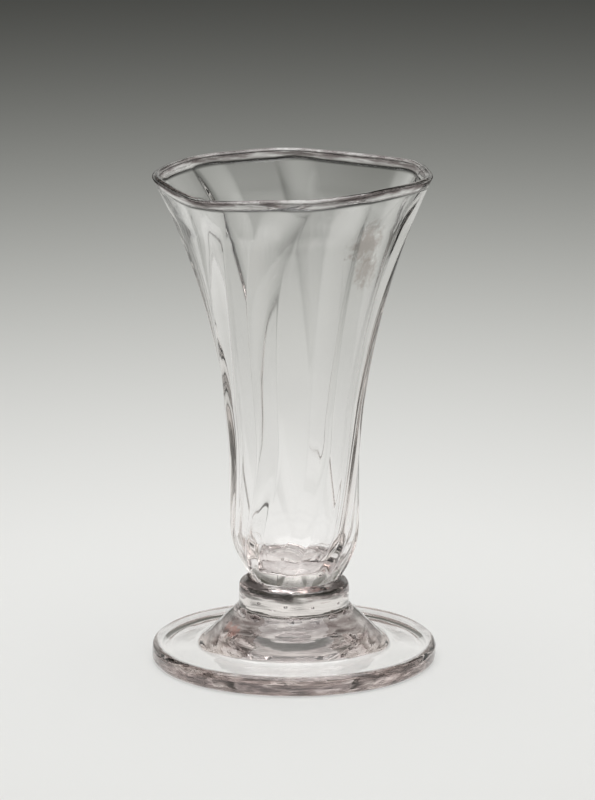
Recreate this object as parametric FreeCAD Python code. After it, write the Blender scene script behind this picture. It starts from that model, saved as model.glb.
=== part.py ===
import FreeCAD, Part
import os
from math import cos, degrees, radians, sin, sqrt
from FreeCAD import Vector

# Small mouth-blown jelly glass, standing upright, +Z up, sizes in millimetres.
# The origin is on the table under the middle of the foot, and the front of the glass is -Y.
# Three gathers of hot glass are fused face to face: foot, knop and bowl.
# Under the foot is the scar where the iron was broken off.

# Foot: a spread plate with a thick rounded edge, hollow underneath, under a steep boss
foot_radius = 31.7
foot_edge_thickness = 4.4
plate_dip = 0.6
boss_base_radius = 20.9
foot_height = 12.4
land_width = 1.3
hollow_height = 3.4
hollow_step_radius = 24.0
hollow_step_height = 1.9

# Knop: the short collar between foot and bowl
knop_height = 6.4
knop_radius = 12.4
knop_shoulder = 2.0
knop_shoulder_swell = 0.7

# Bowl: rounded base, slim tapering body, trumpet mouth, radii over the rib crests
bowl_height = 91.2
neck_radius = 10.3
waist_radius = 14.5
base_round_height = 12.5
body_taper = 3.2
mouth_flare = 13.7
flare_power = 2.6
base_sideways = 0.3

# Glass of the bowl
bottom_thickness = 2.9
cavity_floor_radius = 4.4
cavity_round_height = 9.5
base_wall = 2.6
lip_wall = 1.6
lip_bead = 2.1

# Ribs of the dip mould, proud on the outside and faint on the inside
rib_count = 8
first_rib_angle = -67.0
rib_half_width = 3.2
widest_rib_share = 0.3
rib_height_base = 0.8
rib_height_lip = 0.4
rib_fade_height = 8.0
rib_seat_share = 0.35
lip_fade_height = 5.0
inner_rib_share = 0.35
panel_flatness_base = 0.35
panel_flatness_lip = 0.75

# Turn of all ribs near the base, then each rib's own lean, reach and dip at the uneven lip
base_turn = 36.0
base_turn_height = 34.0
base_turn_power = 1.65
lean_start_height = 40.0
lip_leans = [29.0, 23.0, 6.0, 17.0, 3.0, 23.0, 22.0, 25.0]
lean_powers = [1.0, 1.0, 0.8, 1.0, 1.0, 1.0, 1.6, 1.0]
lip_pulls = [0.8, 0.0, -1.6, -0.6, -0.5, 0.2, 0.1, 0.2]
lip_dips = [1.3, 0.2, 0.0, 0.2, 0.0, 0.2, 0.1, 0.1]

# Scar of the iron: a broken wad of glass; each flake off it has a direction, a tilt and a rim depth
scar_radius = 6.2
scar_thickness = 1.3
scar_flakes = [(20.0, 14.0, 0.75), (140.0, 20.0, 0.9), (255.0, 11.0, 0.6)]

# How finely the bowl is divided
outer_bands = 22
lip_bands = 4
inner_bands = 17

# Where the gathers meet
knop_seat = foot_height
bowl_seat = knop_seat + knop_height
lip_radius = lip_bead / 2
lip_base = bowl_height - lip_radius
rib_pitch = 360.0 / rib_count


def blend(low, high, share):
    """Value between low at share 0 and high at share 1."""
    return low + (high - low) * min(max(share, 0.0), 1.0)


def polar(radius, angle, height):
    """Point at an angle from the front of the glass, counter-clockwise seen from above."""
    return Vector(radius * sin(radians(angle)), -radius * cos(radians(angle)), height)


def line(start, end):
    """Straight stretch of a half outline, between points given as radius and height."""
    return Part.LineSegment(Vector(start[0], 0, start[1]), Vector(end[0], 0, end[1])).toShape()


def arc(start, end, swell):
    """Arc of a half outline that stands out by swell on the right-hand side of its way."""
    first = Vector(start[0], 0, start[1])
    last = Vector(end[0], 0, end[1])
    way = last - first
    side = Vector(way.z, 0, -way.x).normalize()
    middle = (first + last) * 0.5 + side * swell
    return Part.Arc(first, middle, last).toShape()


def turned(outline):
    """Solid of revolution of a closed half outline about the axis of the glass."""
    face = Part.Face(Part.Wire(outline))
    return face.revolve(Vector(0, 0, 0), Vector(0, 0, 1), 360)


# Foot
def make_foot():
    edge_radius = foot_edge_thickness / 2
    edge_middle = foot_radius - edge_radius
    land_inside = edge_middle - land_width
    ceiling_radius = scar_radius + 0.8
    boss_base = (boss_base_radius, foot_edge_thickness - plate_dip)
    boss_top = (knop_radius, foot_height)
    hollow_step = (hollow_step_radius, hollow_step_height)
    outline = [
        line((0, hollow_height), (ceiling_radius, hollow_height)),
        line((ceiling_radius, hollow_height), hollow_step),
        line(hollow_step, (land_inside, 0)),
        line((land_inside, 0), (edge_middle, 0)),
        arc((edge_middle, 0), (edge_middle, foot_edge_thickness), edge_radius),
        line((edge_middle, foot_edge_thickness), boss_base),
        line(boss_base, boss_top),
        line(boss_top, (0, foot_height)),
        line((0, foot_height), (0, hollow_height)),
    ]
    return turned(outline)


# Knop
def make_knop():
    shoulder_middle = knop_radius - (knop_shoulder - knop_shoulder_swell) / 2
    shoulder_level = bowl_seat - (knop_shoulder - knop_shoulder_swell) / 2
    outline = [
        line((0, knop_seat), (knop_radius, knop_seat)),
        line((knop_radius, knop_seat), (knop_radius, bowl_seat - knop_shoulder)),
        line((knop_radius, bowl_seat - knop_shoulder), (shoulder_middle, shoulder_level)),
        line((shoulder_middle, shoulder_level), (knop_radius - knop_shoulder, bowl_seat)),
        line((knop_radius - knop_shoulder, bowl_seat), (0, bowl_seat)),
        line((0, bowl_seat), (0, knop_seat)),
    ]
    return turned(outline)


# Bowl: heights in these functions are counted from the seat of the bowl
def outer_radius(height):
    """Radius over the rib crests."""
    flare = max(height - base_round_height, 0.0) / (lip_base - base_round_height)
    closing = max(base_round_height - height, 0.0) / base_round_height
    widening = body_taper * flare + mouth_flare * flare ** flare_power
    return waist_radius + widening - (waist_radius - neck_radius) * closing ** 2


def inner_radius(height):
    """Radius of the cavity over the faint inner ribs, closing to a small round floor."""
    wall = blend(base_wall, lip_wall, sqrt(height / lip_base))
    full = outer_radius(height) - wall - rib_height(height) * (1 - inner_rib_share)
    above_floor = (height - bottom_thickness) / cavity_round_height
    if above_floor >= 1.0:
        return full
    opening = sqrt(1.0 - (1.0 - above_floor) ** 2)
    return cavity_floor_radius + (full - cavity_floor_radius) * opening


def rib_height(height):
    """How far the ribs stand out: strongest just above the base, gone at the lip."""
    base_fade = blend(rib_seat_share, 1.0, height / rib_fade_height)
    lip_fade = blend(0.0, 1.0, (lip_base - height) / lip_fade_height)
    return blend(rib_height_base, rib_height_lip, height / lip_base) * base_fade * lip_fade


def lip_lean_share(height):
    """How much of the lip's unevenness has come in at a height."""
    return max(height - lean_start_height, 0.0) / (lip_base - lean_start_height)


def rib_angle(index, height):
    """Direction of one rib crest: the turn of the base unwinds, then the lip leans away."""
    turn = base_turn * (1.0 - min(height / base_turn_height, 1.0)) ** base_turn_power
    lean = lip_leans[index] * lip_lean_share(height) ** lean_powers[index]
    return first_rib_angle + index * rib_pitch - turn + lean


def ring(height, radius, crest, inset=0.0, rise=0.0):
    """Closed section of the bowl: a narrow arc over each rib, a flat one over each panel."""
    flatness = blend(panel_flatness_base, panel_flatness_lip, height / lip_base)
    lip_share = lip_lean_share(height) ** 2
    sideways = Vector(base_sideways * (1.0 - height / lip_base) ** 2, 0, 0)
    level = bowl_seat + height + rise
    edges = []
    for index in range(rib_count):
        following = (index + 1) % rib_count
        start = rib_angle(index, height)
        span = (rib_angle(following, height) - start) % 360.0
        half_rib = min(degrees(rib_half_width / radius) / span, widest_rib_share)

        def point(share, proud=0.0):
            pull = blend(lip_pulls[index], lip_pulls[following], share)
            dip = blend(lip_dips[index], lip_dips[following], share)
            chord = cos(radians(span / 2)) / cos(radians((share - 0.5) * span))
            reach = (radius + pull * lip_share) * (1.0 - flatness * (1.0 - chord))
            place = polar(reach - crest + proud - inset, start + share * span, level - dip * lip_share)
            return place + sideways

        edges.append((point(0.0, crest), point(half_rib), point(0.5), point(1.0 - half_rib)))
    wire = []
    for index in range(rib_count):
        top, right, middle, left = edges[index]
        wire.append(Part.Arc(edges[index - 1][3], top, right).toShape())
        wire.append(Part.Arc(right, middle, left).toShape())
    return Part.Wire(wire)


def make_bowl():
    """One skin from the seat up the outside, over the lip and down to the cavity floor."""
    rings = []
    for step in range(outer_bands + 1):
        height = lip_base * (step / outer_bands) ** 1.3
        rings.append(ring(height, outer_radius(height), rib_height(height)))
    for step in range(1, lip_bands):
        angle = radians(180.0 * step / lip_bands)
        inset = lip_radius * (1.0 - cos(angle))
        rise = lip_radius * sin(angle)
        rings.append(ring(lip_base, outer_radius(lip_base), rib_height(lip_base), inset, rise))
    cavity_depth = lip_base - bottom_thickness
    for step in range(inner_bands + 1):
        height = bottom_thickness + cavity_depth * (1.0 - step / inner_bands) ** 1.8
        rings.append(ring(height, inner_radius(height), rib_height(height) * inner_rib_share))
    return Part.makeLoft(rings, True, True)


# Scar under the foot
def make_scar():
    bottom = hollow_height - scar_thickness
    wad = Part.makeCylinder(scar_radius, scar_thickness, Vector(0, 0, bottom))
    for angle, tilt, depth in scar_flakes:
        flake = Part.makeBox(3 * scar_radius, 3 * scar_radius, scar_radius)
        flake.translate(Vector(-scar_radius * 1.5, -scar_radius * 2.2, bottom + depth - scar_radius))
        flake.rotate(polar(scar_radius, 0, bottom + depth), Vector(1, 0, 0), -tilt)
        flake.rotate(Vector(0, 0, 0), Vector(0, 0, 1), angle)
        wad = wad.cut(flake)
    return wad


os.makedirs("parts", exist_ok=True)
pieces = {
    "foot": make_foot(),
    "knop": make_knop(),
    "bowl": make_bowl(),
    "pontil_mark": make_scar(),
}
for name, solid in pieces.items():
    solid.exportStep("parts/" + name + ".step")
    box = solid.optimalBoundingBox()
    print(name, solid.isValid(), len(solid.Solids), round(solid.Volume, 1), len(solid.Faces))
    print("  ", round(box.XMin, 2), round(box.XMax, 2), round(box.YMin, 2), round(box.YMax, 2),
          round(box.ZMin, 2), round(box.ZMax, 2))
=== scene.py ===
import bmesh
import bpy
import numpy as np
from math import acos, atan2, cos, hypot, pi, radians, sin, tan
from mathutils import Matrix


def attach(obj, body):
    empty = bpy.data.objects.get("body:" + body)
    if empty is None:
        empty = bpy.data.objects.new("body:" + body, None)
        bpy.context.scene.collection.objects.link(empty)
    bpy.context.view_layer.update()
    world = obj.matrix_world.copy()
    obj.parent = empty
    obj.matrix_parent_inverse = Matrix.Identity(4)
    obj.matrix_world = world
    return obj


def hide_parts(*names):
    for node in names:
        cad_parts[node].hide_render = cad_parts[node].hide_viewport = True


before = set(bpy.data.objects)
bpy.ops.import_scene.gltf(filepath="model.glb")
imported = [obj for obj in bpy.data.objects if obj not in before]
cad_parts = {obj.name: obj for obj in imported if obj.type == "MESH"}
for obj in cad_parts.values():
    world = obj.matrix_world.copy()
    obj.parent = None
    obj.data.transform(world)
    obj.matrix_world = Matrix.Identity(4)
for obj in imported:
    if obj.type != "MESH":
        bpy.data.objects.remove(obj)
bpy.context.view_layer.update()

# Sizes in this file are millimetres, written to the meshes in metres.

# FOOT
# The third gather of hot soda glass, spread while soft to a plate with a thick round edge.
# It is hollow underneath and rises to a steep boss in the middle, fused to the knop above it.

MM = 0.001
COLUMNS = 256
GLASS_IOR = 1.5
foot_radius = 31.7
foot_top = 12.4
boss_top_radius = 12.3
air_film = 9.5          # radius of the film of air caught between foot and knop
foot_outline = [        # radius, height, rounding of the corner
    (0.0, 3.4, 0.0), (7.0, 3.4, 1.5), (13.0, 2.9, 8.0), (19.0, 0.5, 8.0), (27.5, 0.25, 6.0),
    (29.6, 0.0, 2.0), (foot_radius, 0.1, 2.15), (foot_radius, 4.35, 2.15), (28.4, 4.25, 9.0),
    (20.9, 3.85, 3.5), (boss_top_radius, foot_top, 0.25),
]


def rounded(corners, arc_step=0.25, run_step=0.6):
    """Half outline as points: straight runs, with an arc of its own rounding at each corner."""
    points = [corners[0][:2]]
    for (ax, az, _), (bx, bz, radius), (cx, cz, _) in zip(corners, corners[1:], corners[2:]):
        corner = np.array([bx, bz])
        before, after = corner - (ax, az), np.array([cx, cz]) - corner
        before_length, after_length = hypot(*before), hypot(*after)
        before, after = before / before_length, after / after_length
        turn = acos(max(-1.0, min(1.0, float(before @ after))))
        trim = min(radius * tan(turn / 2), 0.49 * before_length, 0.49 * after_length)
        start, end = corner - before * trim, corner + after * trim
        for share in np.linspace(0, 1, int(turn * max(radius, 0.3) / arc_step) + 3):
            pulls = [(1 - share) ** 2, 2 * share * (1 - share) * cos(turn / 2), share ** 2]
            points.append((pulls[0] * start + pulls[1] * corner + pulls[2] * end) / sum(pulls))
    points.append(corners[-1][:2])
    fine = [tuple(points[0])]
    for x, z in points[1:]:
        last_x, last_z = fine[-1]
        parts = max(1, int(hypot(x - last_x, z - last_z) / run_step))
        for k in range(1, parts + 1):
            fine.append((last_x + (x - last_x) * k / parts, last_z + (z - last_z) * k / parts))
    return fine


def turned_rings(outline, wobble):
    """Rings of points about the axis, one for each point of a half outline, made uneven."""
    angles = np.arange(COLUMNS) * 2 * pi / COLUMNS
    rings = []
    for radius, height in outline:
        more_reach, more_level = wobble(radius, height, angles)
        reach = np.full(COLUMNS, float(radius)) + more_reach
        level = np.full(COLUMNS, float(height)) + more_level
        rings.append(np.stack([reach * np.sin(angles), -reach * np.cos(angles), level], axis=1))
    return rings


def glass_mesh(name, rings, values):
    """Closed piece of glass from rings of equally many points, which end on a pole below and above."""
    columns = len(rings[0])
    points = [rings[0].mean(axis=0)] + [p for ring in rings for p in ring] + [rings[-1].mean(axis=0)]
    last = len(points) - 1
    faces = [(0, 1 + (k + 1) % columns, 1 + k) for k in range(columns)]
    for row in range(len(rings) - 1):
        low, high = 1 + row * columns, 1 + (row + 1) * columns
        for k in range(columns):
            following = (k + 1) % columns
            faces.append((low + k, low + following, high + following, high + k))
    top = 1 + (len(rings) - 1) * columns
    faces += [(top + k, top + (k + 1) % columns, last) for k in range(columns)]
    mesh = bpy.data.meshes.new(name)
    mesh.from_pydata([tuple(float(v) * MM for v in p) for p in points], [], faces)
    for key, data in values.items():
        is_vector = data.ndim == 2
        layer = mesh.attributes.new(key, "FLOAT_VECTOR" if is_vector else "FLOAT", "POINT")
        flat = np.ascontiguousarray(data, np.float32).ravel()
        layer.data.foreach_set("vector" if is_vector else "value", flat)
    mesh.shade_smooth()
    face_outwards(mesh)
    piece = bpy.data.objects.new(name, mesh)
    bpy.context.scene.collection.objects.link(piece)
    return piece


def face_outwards(mesh):
    """Turn all faces round if the shell came out with its faces looking in."""
    shell = bmesh.new()
    shell.from_mesh(mesh)
    if shell.calc_volume(signed=True) < 0:
        bmesh.ops.reverse_faces(shell, faces=shell.faces[:])
    shell.to_mesh(mesh)
    shell.free()


def mark_joints(mesh, joints):
    """Index of refraction face by face: 1 on the flat faces fused to the next piece, glass everywhere
    else. A joint has a height, the radius of the film of air caught in its middle, and its own radius."""
    values = np.full(len(mesh.polygons), GLASS_IOR, np.float32)
    for polygon in mesh.polygons:
        middle = polygon.center
        turn = atan2(middle.y, middle.x)
        wander = 1 + 0.06 * sin(3 * turn + 1.0) + 0.05 * sin(7 * turn + 2.0)
        for height, film, radius in joints:
            flat = abs(polygon.normal.z) > 0.999 and abs(middle.z - height * MM) < 0.03 * MM
            if flat and film * wander * MM < hypot(middle.x, middle.y) < radius * MM:
                values[polygon.index] = 1.0
    mesh.attributes.new("glass_ior", "FLOAT", "FACE").data.foreach_set("value", values)


def to_linear(code):
    """sRGB hex colour as linear red, green, blue and 1."""
    parts = [int(code[k:k + 2], 16) / 255 for k in (1, 3, 5)]
    return tuple(v / 12.92 if v <= 0.04045 else ((v + 0.055) / 1.055) ** 2.4 for v in parts) + (1.0,)


def add_node(tree, kind, values=None, links=None, **settings):
    """Add a node with its settings, socket values and links from other nodes' outputs."""
    node = tree.nodes.new(kind)
    for key, value in settings.items():
        setattr(node, key, value)
    for key, value in (values or {}).items():
        node.inputs[key].default_value = value
    for key, source in (links or {}).items():
        tree.links.new(source, node.inputs[key])
    return node


def stained(tree, place, colour, middle, radius, cover, code):
    """The colour with one ragged stain on it: a rusty, cloudy or black place on or in the glass."""
    grain, raggedness = radius * 0.4, radius * 3.4
    away = add_node(tree, "ShaderNodeVectorMath", {1: tuple(v * MM for v in middle)}, {0: place},
                    operation="DISTANCE")
    ragged = add_node(tree, "ShaderNodeTexNoise",
                      {"Scale": 1 / (grain * MM), "Detail": 5.0, "Roughness": 0.7}, {"Vector": place})
    shift = add_node(tree, "ShaderNodeMath", {1: -raggedness * MM, 2: raggedness * MM / 2},
                     {0: ragged.outputs["Fac"]}, operation="MULTIPLY_ADD")
    reach = add_node(tree, "ShaderNodeMath", None, {0: away.outputs["Value"], 1: shift.outputs[0]},
                     operation="ADD")
    mask = add_node(tree, "ShaderNodeMapRange",
                    {"From Min": radius * MM, "From Max": 0.6 * radius * MM, "To Max": cover},
                    {"Value": reach.outputs[0]})
    mix = add_node(tree, "ShaderNodeMix", {7: to_linear(code)},
                   {0: mask.outputs["Result"], 6: colour}, data_type="RGBA")
    return mix.outputs[2]


def blown_glass(name, wave_size, wave_height, stains=()):
    """Hand-blown soda glass: clear, and faintly pink-brown from manganese where it is thick. Its
    surface is fire-polished, and its long soft waves bend what is seen through it. The tint gathers in
    streaks along thick rounded edges, and painted shade is laid on with it where a piece's marks ask for
    more: a dark band round the knop's shoulder and a darker front to the foot's edge. Air in the glass gets
    a painted dark outline where its skin is seen at a grazing angle."""
    streak_size, ripple_height = 1.1, 0.06
    streaks_lie_along = (0.16, 0.16, 1.0)
    edge_tint_and_painted_shade, deep_tint_and_painted_shade, body_tint, body_depth = "#938989", "#403C3C", "#F9E7E0", 12.0
    glass = bpy.data.materials.new(name)
    glass.use_nodes = True
    tree = glass.node_tree
    tree.nodes.clear()
    place = add_node(tree, "ShaderNodeTexCoord").outputs["Object"]
    waves = add_node(tree, "ShaderNodeTexNoise", {"Scale": 1 / (wave_size * MM), "Detail": 1.5},
                     {"Vector": place})
    waved = add_node(tree, "ShaderNodeBump", {"Distance": wave_height * MM},
                     {"Height": waves.outputs["Fac"]})
    edge = add_node(tree, "ShaderNodeAttribute", attribute_name="edge_tint_and_painted_shade")
    drawn = add_node(tree, "ShaderNodeMapping", {"Scale": streaks_lie_along}, {"Vector": place})
    streaks = add_node(tree, "ShaderNodeTexNoise",
                       {"Scale": 1 / (streak_size * MM), "Detail": 3.0, "Roughness": 0.65},
                       {"Vector": drawn.outputs["Vector"]})
    rippled = add_node(tree, "ShaderNodeBump", {"Distance": ripple_height * MM},
                       {"Strength": edge.outputs["Fac"], "Height": streaks.outputs["Fac"],
                        "Normal": waved.outputs["Normal"]})
    uneven = add_node(tree, "ShaderNodeMapRange",
                      {"From Min": 0.36, "From Max": 0.62, "To Min": 0.1, "To Max": 1.0},
                      {"Value": streaks.outputs["Fac"]})
    thick = add_node(tree, "ShaderNodeMath", None,
                     {0: edge.outputs["Fac"], 1: uneven.outputs["Result"]}, operation="MULTIPLY")
    # Painted shade: blister skins get a dark outline where they are seen at a grazing angle.
    air = add_node(tree, "ShaderNodeAttribute", attribute_name="air_skin")
    grazing = add_node(tree, "ShaderNodeLayerWeight", {"Blend": 0.7})
    outline = add_node(tree, "ShaderNodeMath", None,
                       {0: air.outputs["Fac"], 1: grazing.outputs["Facing"]}, operation="MULTIPLY")
    tint_and_painted_shade_depth = add_node(tree, "ShaderNodeMath", None, {0: thick.outputs[0], 1: outline.outputs[0]},
                     operation="MAXIMUM")
    # The ramp gives the glass's own pink-brown tint and, at its dark end, painted shade.
    tint = add_node(tree, "ShaderNodeValToRGB", None, {"Fac": tint_and_painted_shade_depth.outputs[0]})
    tint.color_ramp.elements.new(0.5).color = to_linear(edge_tint_and_painted_shade)
    tint.color_ramp.elements[0].color = (1.0, 1.0, 1.0, 1.0)
    tint.color_ramp.elements[2].color = to_linear(deep_tint_and_painted_shade)
    colour = tint.outputs["Color"]
    for stain in stains:
        colour = stained(tree, place, colour, *stain)
    joint = add_node(tree, "ShaderNodeAttribute", attribute_name="glass_ior")
    surface = add_node(tree, "ShaderNodeBsdfPrincipled", {"Transmission Weight": 1.0, "Roughness": 0.0},
                       {"Normal": rippled.outputs["Normal"], "IOR": joint.outputs["Fac"],
                        "Base Color": colour})
    inside = add_node(tree, "ShaderNodeVolumeAbsorption",
                      {"Color": to_linear(body_tint), "Density": body_depth})
    add_node(tree, "ShaderNodeOutputMaterial", None,
             {"Surface": surface.outputs["BSDF"], "Volume": inside.outputs["Volume"]})
    return glass


def with_poles(parts):
    """The values of all rings, with a zero for each of the two poles."""
    whole = np.concatenate(parts)
    return np.concatenate([whole[:1] * 0, whole, whole[:1] * 0])


def run_tree(piece, tree, sizes):
    """Run a geometry tree on a piece and keep the result as its plain mesh."""
    step = piece.modifiers.new(tree.name, "NODES")
    step.node_group = tree
    for item in tree.interface.items_tree:
        if item.in_out == "INPUT" and item.name in sizes:
            step[item.identifier] = sizes[item.name]
    bpy.context.view_layer.update()
    made = piece.evaluated_get(bpy.context.evaluated_depsgraph_get())
    mesh = bpy.data.meshes.new_from_object(made)
    piece.modifiers.remove(step)
    piece.data = mesh
    mesh.shade_smooth()


def new_tree(name, inputs):
    """Empty geometry tree with its named inputs; gives the tree and its input node."""
    tree = bpy.data.node_groups.new(name, "GeometryNodeTree")
    tree.interface.new_socket("Geometry", in_out="INPUT", socket_type="NodeSocketGeometry")
    for key, kind in inputs:
        tree.interface.new_socket(key, in_out="INPUT", socket_type="NodeSocket" + kind)
    tree.interface.new_socket("Geometry", in_out="OUTPUT", socket_type="NodeSocketGeometry")
    return tree, add_node(tree, "NodeGroupInput")


def air_tree():
    """Air caught where two gathers were stuck together: a ring of flat blisters inside the glass,
    each a hollow whose faces look into the air."""
    tree, given = new_tree("caught_air", [
        ("Blisters", "Int"), ("Ring radius", "Float"), ("Ring height", "Float"),
        ("Half size", "Vector"), ("Wander", "Vector"), ("Seed", "Int"), ("Glass", "Material"),
    ])
    sizes = given.outputs
    circle = add_node(tree, "GeometryNodeMeshCircle", None,
                      {"Vertices": sizes["Blisters"], "Radius": sizes["Ring radius"]})
    level = add_node(tree, "ShaderNodeCombineXYZ", None, {"Z": sizes["Ring height"]})
    against = add_node(tree, "ShaderNodeVectorMath", {"Scale": -1.0}, {0: sizes["Wander"]},
                       operation="SCALE")
    stray = add_node(tree, "FunctionNodeRandomValue", None,
                     {0: against.outputs[0], 1: sizes["Wander"], "Seed": sizes["Seed"]},
                     data_type="FLOAT_VECTOR")
    shift = add_node(tree, "ShaderNodeVectorMath", None, {0: level.outputs[0], 1: stray.outputs[0]},
                     operation="ADD")
    spots = add_node(tree, "GeometryNodeSetPosition", None,
                     {"Geometry": circle.outputs["Mesh"], "Offset": shift.outputs[0]})
    place = add_node(tree, "GeometryNodeInputPosition")
    outwards = add_node(tree, "ShaderNodeVectorMath", {1: (1.0, 1.0, 0.0)}, {0: place.outputs[0]},
                        operation="MULTIPLY")
    turn = add_node(tree, "FunctionNodeAlignRotationToVector", None, {"Vector": outwards.outputs[0]},
                    axis="X", pivot_axis="Z")
    share = add_node(tree, "FunctionNodeRandomValue", {2: 0.55, 3: 1.0}, {"Seed": sizes["Seed"]},
                     data_type="FLOAT")
    size = add_node(tree, "ShaderNodeVectorMath", None,
                    {0: sizes["Half size"], "Scale": share.outputs[1]}, operation="SCALE")
    ball = add_node(tree, "GeometryNodeMeshIcoSphere", {"Radius": 1.0, "Subdivisions": 4})
    hollow = add_node(tree, "GeometryNodeFlipFaces", None, {"Mesh": ball.outputs["Mesh"]})
    # air_skin marks the blister skins, on which the glass paints a dark outline as painted shade.
    skin = add_node(tree, "GeometryNodeStoreNamedAttribute", {"Name": "air_skin", "Value": 1.0},
                    {"Geometry": hollow.outputs["Mesh"]}, data_type="FLOAT", domain="POINT")
    blisters = add_node(tree, "GeometryNodeInstanceOnPoints", None,
                        {"Points": spots.outputs["Geometry"], "Instance": skin.outputs["Geometry"],
                         "Rotation": turn.outputs["Rotation"], "Scale": size.outputs[0]})
    together = add_node(tree, "GeometryNodeJoinGeometry")
    tree.links.new(blisters.outputs["Instances"], together.inputs[0])
    tree.links.new(sizes["Geometry"], together.inputs[0])
    end_tree(tree, together.outputs["Geometry"], sizes["Glass"])
    return tree


def end_tree(tree, geometry, material):
    """Last nodes of a geometry tree: a real mesh, of one material."""
    real = add_node(tree, "GeometryNodeRealizeInstances", None, {"Geometry": geometry})
    coat = add_node(tree, "GeometryNodeSetMaterial", None,
                    {"Geometry": real.outputs["Geometry"], "Material": material})
    add_node(tree, "NodeGroupOutput", None, {"Geometry": coat.outputs["Geometry"]})


def foot_wobble(radius, height, angles):
    """Uneven spreading: the edge wanders a little and is streaked along its length, and the tools
    left soft rings round the boss."""
    share = min(max((radius - boss_top_radius) / (foot_radius - boss_top_radius), 0), 1)
    edge = min(max((radius - 28.0) / 2.0, 0), 1)
    wander = -0.14 * share * (1 + np.sin(2 * angles + 0.6) * 0.5 + np.sin(5 * angles + 2.0) * 0.4)
    streak = 4.4 * height + 2.2 * np.sin(3 * angles + 1) + 1.3 * np.sin(8 * angles)
    reach = wander - 0.05 * edge * (1 + np.sin(streak))
    on_top = 1.0 if height > 3.0 and radius > 13 else 0.0
    tool_rings = np.sin(radius * 2.6 + 0.6 * np.sin(angles + 1.0)) * min(1, max(0, (26 - radius) / 6))
    level = on_top * (0.03 * tool_rings + 0.05 * share * (np.sin(3 * angles + 1.1) - 1.2))
    return reach, level


def foot_tint_and_painted_shade(ring):
    """Where the pink-brown tint gathers, in the thick edge and some in the boss, with painted shade that
    makes the front of the edge much darker than its back.
    """
    edge_inside, boss_outside, boss_bottom, fade = 29.8, 21, 4.2, 1.2
    reach = np.hypot(ring[:, 0], ring[:, 1])
    front = 0.5 + 0.5 * np.cos(np.arctan2(ring[:, 0], -ring[:, 1]))
    # Painted shade: the front of the thick edge is made far darker than its back; the rest is the glass's
    # own tint.
    edge = np.clip((reach - edge_inside) / fade, 0, 1) * (0.05 + 1.1 * front)
    return edge + 0.6 * np.clip((ring[:, 2] - boss_bottom) / fade, 0, 1) * (reach < boss_outside)


RUST, BLACK = "#9C5444", "#281C1C"
foot_stains = [         # middle, radius, cover, colour: two rusty places and five black specks
    ((-13.4, -9.1, 8.5), 2.0, 0.75, RUST), ((-14.5, -6.2, 8.9), 1.4, 0.7, RUST),
    ((-12.2, -3.4, 12.0), 0.6, 1.0, BLACK), ((-8.8, -9.6, 11.7), 0.5, 1.0, BLACK),
    ((-14.7, -4.6, 9.3), 0.5, 1.0, BLACK), ((-0.3, -13.1, 11.6), 0.5, 1.0, BLACK),
    ((5.2, -12.4, 11.3), 0.5, 1.0, BLACK),
]
foot_rings = turned_rings(rounded(foot_outline), foot_wobble)
foot = glass_mesh("foot_glass", foot_rings, {"edge_tint_and_painted_shade": with_poles([foot_tint_and_painted_shade(r) for r in foot_rings])})
foot_glass = blown_glass("blown_soda_glass_foot", 9.0, 0.02, foot_stains)
caught_air = air_tree()
# Long flat blisters lie end to end in the joint, and small round bubbles are strewn below them.
run_tree(foot, caught_air, {
    "Blisters": 16, "Ring radius": 12.0 * MM, "Ring height": 11.1 * MM, "Seed": 4, "Glass": foot_glass,
    "Half size": (0.8 * MM, 2.5 * MM, 1.1 * MM), "Wander": (0.15 * MM, 0.15 * MM, 0.1 * MM),
})
run_tree(foot, caught_air, {
    "Blisters": 27, "Ring radius": 12.6 * MM, "Ring height": 10.2 * MM, "Seed": 9, "Glass": foot_glass,
    "Half size": (0.3 * MM, 0.45 * MM, 0.3 * MM), "Wander": (0.6 * MM, 0.6 * MM, 0.7 * MM),
})
mark_joints(foot.data, [(foot_top, air_film, boss_top_radius)])
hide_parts("foot")
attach(foot, "root")

# PONTIL MARK
# The wad of glass that the finishing iron leaves under the foot when the glass is knocked off it.
# It is broken, not polished: sharp scooped flakes around a rough middle. It was only stuck on, so a
# film of air lies between it and the foot.

SCAR_COLUMNS = 96
scar_top = 3.39
scar_outline = [        # radius, height
    (0.3, 2.55), (1.2, 2.5), (2.2, 2.35), (3.2, 2.2), (4.2, 2.15), (5.2, 2.25), (5.9, 2.6),
    (6.1, 3.1), (6.0, scar_top), (3.0, scar_top), (0.5, scar_top),
]
scar_angles = np.arange(SCAR_COLUMNS) * 2 * pi / SCAR_COLUMNS
scar_rings = []
for radius, height in rounded([(r, z, 0.2) for r, z in scar_outline], 0.2):
    broken = min(radius / 4, 1) if height < 3.2 else 0
    chip = 0.22 * np.abs(np.sin(2.5 * scar_angles + 0.8)) * broken
    reach = radius * (1 - 0.05 * np.abs(np.sin(3.5 * scar_angles)))
    level = np.minimum(height + chip, scar_top)
    scar_rings.append(np.stack([reach * np.sin(scar_angles), -reach * np.cos(scar_angles), level], axis=1))
pontil_mark = glass_mesh("pontil_mark_glass", scar_rings, {})
mark_joints(pontil_mark.data, [])
pontil_mark.data.materials.append(blown_glass("broken_soda_glass_pontil_mark", 1.2, 0.25))
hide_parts("pontil_mark")
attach(pontil_mark, "root")

# KNOP
# The second gather, a short collar between foot and bowl, sheared and squeezed round while soft.
# Air was caught in it, so it holds a ring of small bubbles. Its shoulder carries a dark band of painted
# shade.

bowl_seat = 18.8
knop_bottom, knop_top, knop_top_radius = foot_top + 0.01, bowl_seat - 0.01, 10.4
knop_outline = [        # radius, height, rounding of the corner
    (0.0, knop_bottom, 0.0), (boss_top_radius, knop_bottom, 0.25), (12.45, 15.6, 3.0),
    (12.3, 17.6, 1.6), (knop_top_radius, knop_top, 0.15), (0.0, knop_top, 0.0),
]


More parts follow.
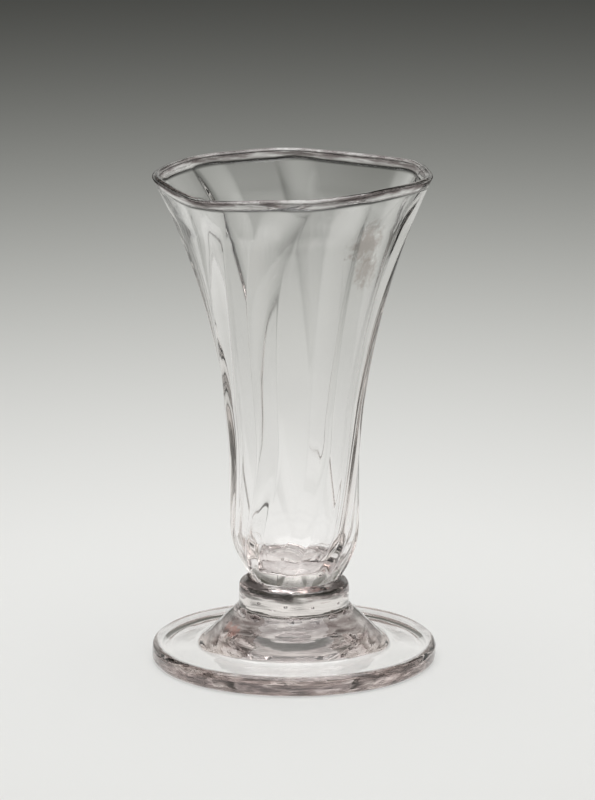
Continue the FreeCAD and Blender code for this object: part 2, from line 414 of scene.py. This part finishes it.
def knop_wobble(radius, height, angles):
    """The collar is not quite round, and its sides were pinched by the jaws."""
    side = 1.0 if radius > 9.5 and foot_top + 0.3 < height < bowl_seat - 0.3 else 0.0
    return side * (-0.12 + 0.06 * np.sin(2 * angles + 1.3) + 0.05 * np.sin(7 * angles + height)), 0.0


def knop_painted_shade_band(ring):
    """Painted shade: a dark band with a torn lower edge round the shoulder of the collar, darkest at the
    front and thinner at a pinch mark, over a faint even tint.
    """
    band_bottom, band_inside, band_fade = 16.4, 10.0, 0.3
    pinch_level, pinch_turn, pinch_half_turn, pinch_half_height = 17.2, 0.1, 0.12, 0.9
    angles = np.arctan2(ring[:, 0], -ring[:, 1])
    reach = np.hypot(ring[:, 0], ring[:, 1])
    tears = 0.3 * np.sin(3 * angles + 0.4) + 0.25 * np.sin(7 * angles + 1.0) + 0.15 * np.sin(17 * angles)
    band = np.clip((ring[:, 2] - band_bottom - tears) / band_fade, 0, 1) * (reach > band_inside)
    above = ring[:, 2] - pinch_level
    across = np.abs(angles - pinch_turn - 0.15 * above) / pinch_half_turn
    pinch = np.clip(1.5 - across - np.abs(above) / pinch_half_height, 0, 1)
    # Painted shade: the band stands for the dark surroundings that the shoulder shows, and is strongest at
    # the front.
    return 0.06 + 2.4 * band * (1 - pinch) * (0.6 + 0.4 * np.cos(angles))


knop_rings = turned_rings(rounded(knop_outline, 0.2), knop_wobble)
knop = glass_mesh("knop_glass", knop_rings, {"edge_tint_and_painted_shade": with_poles([knop_painted_shade_band(r) for r in knop_rings])})
knop_glass = blown_glass("blown_soda_glass_knop", 4.0, 0.05)
run_tree(knop, caught_air, {
    "Blisters": 11, "Ring radius": 10.7 * MM, "Ring height": 14.5 * MM, "Seed": 3, "Glass": knop_glass,
    "Half size": (0.4 * MM, 0.45 * MM, 0.4 * MM), "Wander": (0.7 * MM, 0.7 * MM, 0.5 * MM),
})
mark_joints(knop.data, [(knop_bottom, air_film, boss_top_radius), (knop_top, 0.0, knop_top_radius)])
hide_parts("knop")
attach(knop, "root")

# BOWL
# The first gather, blown into an eight-ribbed dip mould, then blown out and flared to a trumpet.
# The ribs stay as soft ridges that turn at the base, and the fire-polished lip is uneven.

bowl_height, neck_radius, waist_radius, base_round_height = 91.2, 10.3, 14.5, 12.5
body_taper, mouth_flare, flare_power = 3.2, 13.7, 2.6
bottom_thickness, cavity_floor_radius, cavity_round_height = 2.9, 4.4, 9.5
base_wall, lip_wall, lip_radius = 2.6, 1.5, 0.9
lip_base = bowl_height - lip_radius
base_sideways = 0.3
rib_count, first_rib_angle = 8, -67.0
rib_height_base, rib_height_lip = 0.45, 0.95
rib_fade_height, rib_seat_share, lip_fade_height = 8.0, 0.3, 9.0
inner_rib_share_base, inner_rib_share_lip = 0.5, 0.15
panel_flatness_base, panel_flatness_lip = 0.35, 0.66
corner_width_base, corner_width_lip = 1.5, 5.0
base_turn, base_turn_height, base_turn_power, lean_start_height = 36.0, 34.0, 1.65, 40.0
lip_leans = [29.0, 23.0, 6.0, 17.0, 3.0, 23.0, 22.0, 25.0]
lean_powers = [1.0, 2.4, 0.7, 1.0, 1.0, 1.0, 1.6, 1.0]
lip_pulls = [0.8, 0.0, -1.6, -0.6, -0.5, 0.2, 0.1, 0.2]
lip_dips = [1.3, 0.2, 0.0, 0.2, 0.0, 0.2, 0.1, 0.1]
rib_strengths = [1.0, 1.0, 0.95, 1.0, 0.9, 1.0, 1.0, 1.0]
PANEL_COLUMNS, OUTER_ROWS, LIP_ROWS, INNER_ROWS = 44, 112, 14, 84


def blend(low, high, share):
    """Value between low at share 0 and high at share 1."""
    return low + (high - low) * min(max(share, 0.0), 1.0)


def outer_radius(height):
    """Radius over the rib crests, at a height above the seat of the bowl."""
    flare = max(height - base_round_height, 0.0) / (lip_base - base_round_height)
    closing = max(base_round_height - height, 0.0) / base_round_height
    widening = body_taper * flare + mouth_flare * flare ** flare_power
    return waist_radius + widening - (waist_radius - neck_radius) * closing ** 2


def rib_height(height):
    """How far the ribs stand out there."""
    base_fade = blend(rib_seat_share, 1.0, height / rib_fade_height)
    lip_fade = blend(0.0, 1.0, (lip_base - height) / lip_fade_height)
    return blend(rib_height_base, rib_height_lip, height / lip_base) * base_fade * lip_fade


def inner_rib_share(height):
    """How far the ribs show on the inside, as a share of the outside."""
    return blend(inner_rib_share_base, inner_rib_share_lip, height / lip_base)


def inner_radius(height):
    """Radius of the cavity, closing to a small round floor."""
    wall = blend(base_wall, lip_wall, height / lip_base)
    full = outer_radius(height) - wall - rib_height(height) * (1 - inner_rib_share(height))
    above_floor = (height - bottom_thickness) / cavity_round_height
    if above_floor >= 1.0:
        return full
    return cavity_floor_radius + (full - cavity_floor_radius) * (1.0 - (1.0 - above_floor) ** 2) ** 0.5


def lip_lean_share(height):
    """How much of the lip's unevenness has come in at a height."""
    return max(height - lean_start_height, 0.0) / (lip_base - lean_start_height)


def rib_angle(index, height):
    """Direction of one rib crest: the turn of the base unwinds, then the lip leans away."""
    turn = base_turn * (1.0 - min(height / base_turn_height, 1.0)) ** base_turn_power
    lean = lip_leans[index] * lip_lean_share(height) ** lean_powers[index]
    return first_rib_angle + index * 360.0 / rib_count - turn + lean


def bowl_ring(height, radius, crest, inset=0.0, rise=0.0):
    """One ring of the bowl without its ribs: points, way out from each point, distance to the nearest
    crest round the bowl, and how high that rib is to be."""
    flatness = blend(panel_flatness_base, panel_flatness_lip, height / lip_base)
    lip_share = lip_lean_share(height) ** 2
    sideways = base_sideways * (1.0 - min(height / lip_base, 1.0)) ** 2
    corner_width = blend(corner_width_base, corner_width_lip, height / lip_base)
    starts = [rib_angle(index, height) for index in range(rib_count)]
    spans = [(starts[(index + 1) % rib_count] - starts[index]) % 360.0 for index in range(rib_count)]
    slopes = [tan(radians(span / 2)) for span in spans]
    points, ways, offsets, heights = [], [], [], []
    for index in range(rib_count):
        following = (index + 1) % rib_count
        for column in range(PANEL_COLUMNS):
            share = column / PANEL_COLUMNS
            ease = share * share * (3 - 2 * share)
            pull = blend(lip_pulls[index], lip_pulls[following], ease)
            dip = blend(lip_dips[index], lip_dips[following], ease)
            chord = cos(radians(spans[index] / 2)) / cos(radians((share - 0.5) * spans[index]))
            reach = (radius + pull * lip_share) * (1.0 - flatness * (1.0 - chord)) - crest - inset
            for corner, away in ((index, share), (following, 1.0 - share)):
                bend = flatness * (slopes[corner - 1] + slopes[corner])
                near = away * radians(spans[index]) * radius / corner_width
                reach -= bend * corner_width / 4 * max(1.0 - near, 0.0) ** 2
            angle = radians(starts[index] + share * spans[index])
            roundness = 0.86 + 0.07 * sin(3 * angle + 0.8) + 0.05 * sin(7 * angle + 2.0)
            bead = rise * (roundness + 0.02 * sin(19 * angle))
            sag = (dip + 0.12 * (1 + sin(5 * angle + 1.0))) * lip_share
            level = bowl_seat + height + bead - sag
            points.append((reach * sin(angle) + sideways, -reach * cos(angle), level))
            ways.append((sin(angle), -cos(angle), 0.0))
            near_share = share if share < 0.5 else share - 1.0
            offsets.append(near_share * radians(spans[index]) * waist_radius * MM)
            heights.append(blend(rib_strengths[index], rib_strengths[following], ease) * crest)
    return np.array(points), np.array(ways), np.array(offsets), np.array(heights)


def lip_tint(height, rise):
    """Strong on the rounded lip, fading out just below it."""
    return 0.8 if rise > 0 else blend(0.0, 0.8, height - lip_base + 1.0)


bowl_bottom = 0.01
bowl_rows = [(bowl_bottom, r, 0.0, 0.0, 0.0) for r in (0.5, 3.0, 6.5, 9.0)]
for height in lip_base * np.linspace(0.0001, 1, OUTER_ROWS) ** 1.25:
    bowl_rows.append((height, outer_radius(height), rib_height(height), 0.0, 0.0))
for step in range(1, LIP_ROWS):
    turn = pi * step / LIP_ROWS
    inset, rise = lip_radius * (1 - cos(turn)), lip_radius * sin(turn)
    bowl_rows.append((lip_base, outer_radius(lip_base), 0.0, inset, rise))
for share in np.linspace(0, 1, INNER_ROWS):
    height = bottom_thickness + (lip_base - bottom_thickness) * (1 - share) ** 1.9
    crest = rib_height(height) * inner_rib_share(height)
    bowl_rows.append((height, inner_radius(height), crest, 0.0, 0.0))
bowl_rows += [(bottom_thickness, r, 0.0, 0.0, 0.0) for r in (3.4, 2.2, 1.0, 0.3)]
bowl_rings = [bowl_ring(*row) for row in bowl_rows]
lip_tints = [np.full(PANEL_COLUMNS * rib_count, lip_tint(row[0], row[4])) for row in bowl_rows]
bowl = glass_mesh("bowl_glass", [ring[0] for ring in bowl_rings], {
    "way_out": with_poles([ring[1] for ring in bowl_rings]),
    "crest_offset": with_poles([ring[2] for ring in bowl_rings]),
    "rib_height": with_poles([ring[3] for ring in bowl_rings]),
    "edge_tint_and_painted_shade": with_poles(lip_tints),
})
bowl_glass = blown_glass("blown_soda_glass_bowl", 14.0, 0.04, [
    ((15.6, -16.6, 97.5), 5.0, 0.45, "#AC9488"), ((15.8, -14.4, 90.5), 4.0, 0.4, "#AC9488"),
])


def rib_tree():
    """Raise the ribs of the dip mould out of the blown skin: a rounded crest, and flanks of two widths."""
    tree, given = new_tree("dip_mould_ribs", [
        ("Left half width", "Float"), ("Right half width", "Float"), ("Rib height", "Float"),
        ("Glass", "Material"),
    ])
    sizes = given.outputs
    offset = add_node(tree, "GeometryNodeInputNamedAttribute", {"Name": "crest_offset"})
    height = add_node(tree, "GeometryNodeInputNamedAttribute", {"Name": "rib_height"})
    way = add_node(tree, "GeometryNodeInputNamedAttribute", {"Name": "way_out"}, data_type="FLOAT_VECTOR")
    away = add_node(tree, "ShaderNodeMath", None, {0: offset.outputs["Attribute"]}, operation="ABSOLUTE")
    right = add_node(tree, "ShaderNodeMath", {1: 0.0}, {0: offset.outputs["Attribute"]},
                     operation="GREATER_THAN")
    half_width = add_node(tree, "ShaderNodeMix", None,
                          {0: right.outputs[0], 2: sizes["Left half width"],
                           3: sizes["Right half width"]}, data_type="FLOAT")
    out = add_node(tree, "ShaderNodeMapRange", None,
                   {"Value": away.outputs[0], "From Max": half_width.outputs[0]})
    less = add_node(tree, "ShaderNodeMath", {1: -1.0}, {0: out.outputs["Result"]}, operation="MULTIPLY")
    flank = add_node(tree, "ShaderNodeMath", {2: 1.0}, {0: out.outputs["Result"], 1: less.outputs[0]},
                     operation="MULTIPLY_ADD")
    lift = add_node(tree, "ShaderNodeMath", None, {0: flank.outputs[0], 1: height.outputs["Attribute"]},
                    operation="MULTIPLY")
    tall = add_node(tree, "ShaderNodeMath", None, {0: lift.outputs[0], 1: sizes["Rib height"]},
                    operation="MULTIPLY")
    move = add_node(tree, "ShaderNodeVectorMath", None,
                    {0: way.outputs["Attribute"], "Scale": tall.outputs[0]}, operation="SCALE")
    raised = add_node(tree, "GeometryNodeSetPosition", None,
                      {"Geometry": sizes["Geometry"], "Offset": move.outputs[0]})
    end_tree(tree, raised.outputs["Geometry"], sizes["Glass"])
    return tree


run_tree(bowl, rib_tree(), {
    "Left half width": 2.9 * MM, "Right half width": 2.2 * MM, "Rib height": MM, "Glass": bowl_glass,
})
mark_joints(bowl.data, [(bowl_seat + bowl_bottom, 0.0, knop_top_radius)])
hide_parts("bowl")
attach(bowl, "root")

# TABLE, LIGHT AND CAMERA
# A pale paper sweep under one large soft lamp straight above the glass, with pale walls low all round
# and a pale screen high in front, which only the glass shows. The light falls off behind the glass, from
# the lamp and from a painted light falloff on the paper, and that gives the grey background and the dark
# lines along the edges of the glass.

FLOOR_RADIUS, FLOOR_CORNERS = 3.0, 96


def seen_share(tree, direct=1.0, through=1.0):
    """One share for the camera, one for rays off or through glass, 0 for the light that falls on things."""
    path = add_node(tree, "ShaderNodeLightPath")
    either = add_node(tree, "ShaderNodeMath", None,
                      {0: path.outputs["Is Glossy Ray"], 1: path.outputs["Is Transmission Ray"]},
                      operation="MAXIMUM")
    bent = add_node(tree, "ShaderNodeMath", {1: through}, {0: either.outputs[0]}, operation="MULTIPLY")
    straight = add_node(tree, "ShaderNodeMath", {1: direct}, {0: path.outputs["Is Camera Ray"]},
                        operation="MULTIPLY")
    share = add_node(tree, "ShaderNodeMath", None, {0: bent.outputs[0], 1: straight.outputs[0]},
                     operation="MAXIMUM")
    return share.outputs[0]


def fading(tree, distance, reach, bend, power):
    """1 in the middle, less with distance: (1 + (distance / reach) ** bend) ** -power."""
    part = add_node(tree, "ShaderNodeMath", {1: reach}, {0: distance}, operation="DIVIDE")
    bent = add_node(tree, "ShaderNodeMath", {1: bend}, {0: part.outputs[0]}, operation="POWER")
    more = add_node(tree, "ShaderNodeMath", {1: 1.0}, {0: bent.outputs[0]}, operation="ADD")
    return add_node(tree, "ShaderNodeMath", {1: -power}, {0: more.outputs[0]}, operation="POWER").outputs[0]


def paper_colour_with_painted_falloff(tree, share, edge_code, middle_code):
    """Painted light falloff on the paper: colour from its edge to its middle by a share, and brighter with
    it.
    """
    mix = add_node(tree, "ShaderNodeMix", {6: to_linear(edge_code), 7: to_linear(middle_code)},
                   {0: share}, data_type="RGBA")
    dim = add_node(tree, "ShaderNodeVectorMath", None, {0: mix.outputs[2], "Scale": share},
                   operation="SCALE")
    return dim.outputs[0]


def background_paper():
    """Matt paper, white in the middle: no shine, only the soft shadow of the glass. Its colour greys with
    distance from the middle as a painted light falloff. Part of what is seen of it is a brightness of its
    own that falls off towards the back and the sides, where the lamp doesn't reach, and that lights nothing
    else."""
    paper = bpy.data.materials.new("matt_background_paper")
    paper.use_nodes = True
    tree = paper.node_tree
    tree.nodes.clear()
    place = add_node(tree, "ShaderNodeTexCoord").outputs["Object"]
    distance = add_node(tree, "ShaderNodeVectorMath", None, {0: place}, operation="LENGTH").outputs["Value"]
    # Painted light falloff: the matt colour greys with distance from the glass.
    matt_colour_with_painted_falloff = paper_colour_with_painted_falloff(tree, fading(tree, distance, 1.05, 2.0, 1.0), "#E2E6DC", "#EAEAE8")
    parts = add_node(tree, "ShaderNodeSeparateXYZ", None, {"Vector": place})
    side = add_node(tree, "ShaderNodeMath", None, {0: parts.outputs["X"]}, operation="ABSOLUTE").outputs[0]
    lit = add_node(tree, "ShaderNodeMath", None, {0: fading(tree, distance, 0.60, 2.2, 2.35),
                   1: fading(tree, side, 0.17, 9.0, 1.0)}, operation="MULTIPLY")
    seen_colour_with_painted_falloff = paper_colour_with_painted_falloff(tree, lit.outputs[0], "#E8EAE0", "#ECECEA")
    matt = add_node(tree, "ShaderNodeBsdfDiffuse", None, {"Color": matt_colour_with_painted_falloff})
    strength = add_node(tree, "ShaderNodeMath", {1: 0.03, 2: 1.0}, {0: seen_share(tree, 0.0, 1.0)},
                        operation="MULTIPLY_ADD")
    seen = add_node(tree, "ShaderNodeEmission", None,
                    {"Color": seen_colour_with_painted_falloff, "Strength": strength.outputs[0]})
    both = add_node(tree, "ShaderNodeMixShader", None, {"Fac": seen_share(tree, 0.55, 0.9),
                    1: matt.outputs["BSDF"], 2: seen.outputs["Emission"]})
    add_node(tree, "ShaderNodeOutputMaterial", None, {"Surface": both.outputs["Shader"]})
    return paper


floor_mesh = bpy.data.meshes.new("floor")
floor_turns = [2 * pi * k / FLOOR_CORNERS for k in range(FLOOR_CORNERS)]
floor_mesh.from_pydata([(FLOOR_RADIUS * cos(t), FLOOR_RADIUS * sin(t), 0.0) for t in floor_turns], [],
                       [tuple(range(FLOOR_CORNERS))])
floor_mesh.materials.append(background_paper())
floor = bpy.data.objects.new("floor", floor_mesh)
bpy.context.scene.collection.objects.link(floor)

lamp_data = bpy.data.lights.new("softbox", "AREA")
lamp_data.shape = "DISK"
lamp_data.size = 0.9
lamp_data.energy = 6.0
lamp = bpy.data.objects.new("softbox", lamp_data)
lamp.location = (0.0, 0.02, 0.66)
lamp.visible_camera = False
bpy.context.scene.collection.objects.link(lamp)

studio_heights = [      # height of the direction looked in, colour of the studio there
    (0.02, "#989894"), (0.06, "#B4B4B0"), (0.14, "#CCCCC8"), (0.20, "#E0E0DC"), (0.28, "#E0E0DC"),
    (0.36, "#80807C"), (0.50, "#58584F"),
]
studio = bpy.data.worlds.new("studio")
studio.use_nodes = True
tree = studio.node_tree
way = add_node(tree, "ShaderNodeTexCoord").outputs["Generated"]
parts = add_node(tree, "ShaderNodeSeparateXYZ", None, {"Vector": way})
walls = add_node(tree, "ShaderNodeValToRGB", None, {"Fac": parts.outputs["Z"]})
for studio_height, code in studio_heights:
    walls.color_ramp.elements.new(studio_height).color = to_linear(code)
walls.color_ramp.elements[0].color = to_linear("#484844")
walls.color_ramp.elements[-1].color = to_linear("#545450")
ahead = add_node(tree, "ShaderNodeMapRange", {"From Min": -0.1, "From Max": -0.5},
                 {"Value": parts.outputs["Y"]})
above = add_node(tree, "ShaderNodeMapRange", {"From Min": 0.35, "From Max": 0.55},
                 {"Value": parts.outputs["Z"]})
in_front = add_node(tree, "ShaderNodeMath", None,
                    {0: ahead.outputs["Result"], 1: above.outputs["Result"]}, operation="MULTIPLY")
screen = add_node(tree, "ShaderNodeMix", {7: to_linear("#F0F0EC")},
                  {0: in_front.outputs[0], 6: walls.outputs["Color"]}, data_type="RGBA")
around = add_node(tree, "ShaderNodeMix", {6: to_linear("#484844")},
                  {0: seen_share(tree), 7: screen.outputs[2]}, data_type="RGBA")
background = tree.nodes["Background"]
background.inputs["Strength"].default_value = 1.0
tree.links.new(around.outputs[2], background.inputs["Color"])
bpy.context.scene.world = studio

camera_data = bpy.data.cameras.new("camera")
camera_data.lens = 218.9
camera_data.sensor_width = 36.0
camera = bpy.data.objects.new("camera", camera_data)
camera.location = (0.0008, -1.040, 0.3107)
camera.rotation_euler = (radians(90 - 13.617), 0.0, 0.0)
bpy.context.scene.collection.objects.link(camera)
scene = bpy.context.scene
scene.camera = camera
scene.view_settings.view_transform = "Standard"
scene.cycles.max_bounces = 32
scene.cycles.transmission_bounces = 32
scene.cycles.glossy_bounces = 12
scene.cycles.diffuse_bounces = 3

bpy.context.view_layer.update()
